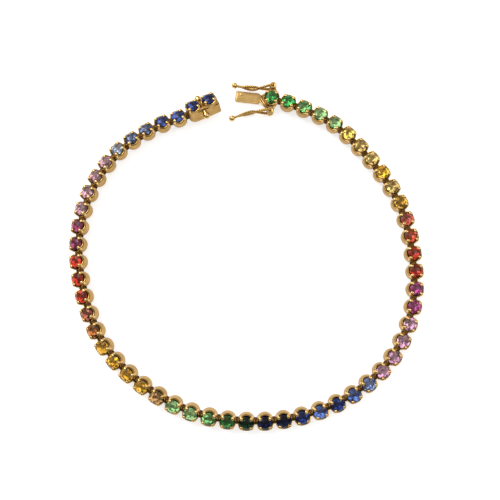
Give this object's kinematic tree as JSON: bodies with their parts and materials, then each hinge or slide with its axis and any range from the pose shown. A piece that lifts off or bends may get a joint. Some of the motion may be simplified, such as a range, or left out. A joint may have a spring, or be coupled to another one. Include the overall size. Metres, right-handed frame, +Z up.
{
  "type": "tennis bracelet",
  "caption": "Gold line bracelet of round coloured stones in four-prong cups, with a box clasp and safety levers, lying open.",
  "frame": {"origin": "middle of the footprint, on the surface that the bracelet lies on", "axes": "+Z up out of the stones' tables, +Y towards the clasp, +X towards the tongue's half of the chain"},
  "size_m": [0.0624, 0.063, 0.0039],
  "materials": {
    "gold_chain": "polished yellow gold",
    "gold_clasp": "satin yellow gold",
    "gold_levers": "polished yellow gold wire",
    "green_stone": "polished clear green stone",
    "blue_stone": "polished clear blue stone"
  },
  "bodies": {
    "bracelet": {"link_chain_tongue_side": "gold_chain", "link_chain_box_side": "gold_chain", "clasp_tongue": "gold_clasp", "tongue_stone": "green_stone", "clasp_box": "gold_clasp", "box_stone_chain_end": "blue_stone", "box_stone_open_end": "blue_stone"},
    "lever_outer": {"safety_lever_outer": "gold_levers"},
    "lever_inner": {"safety_lever_inner": "gold_levers"}
  },
  "joints": [
    {"name": "lever_outer_hinge", "type": "hinge", "parent": "bracelet", "child": "lever_outer", "pos_m": [0.00505, 0.03072, 0.0011], "axis": [0, 0, -1], "range_deg": [0, 125]},
    {"name": "lever_inner_hinge", "type": "hinge", "parent": "bracelet", "child": "lever_inner", "pos_m": [0.00447, 0.02579, 0.0011], "axis": [0, 0, 1], "range_deg": [-22.8, 105]}
  ]
}
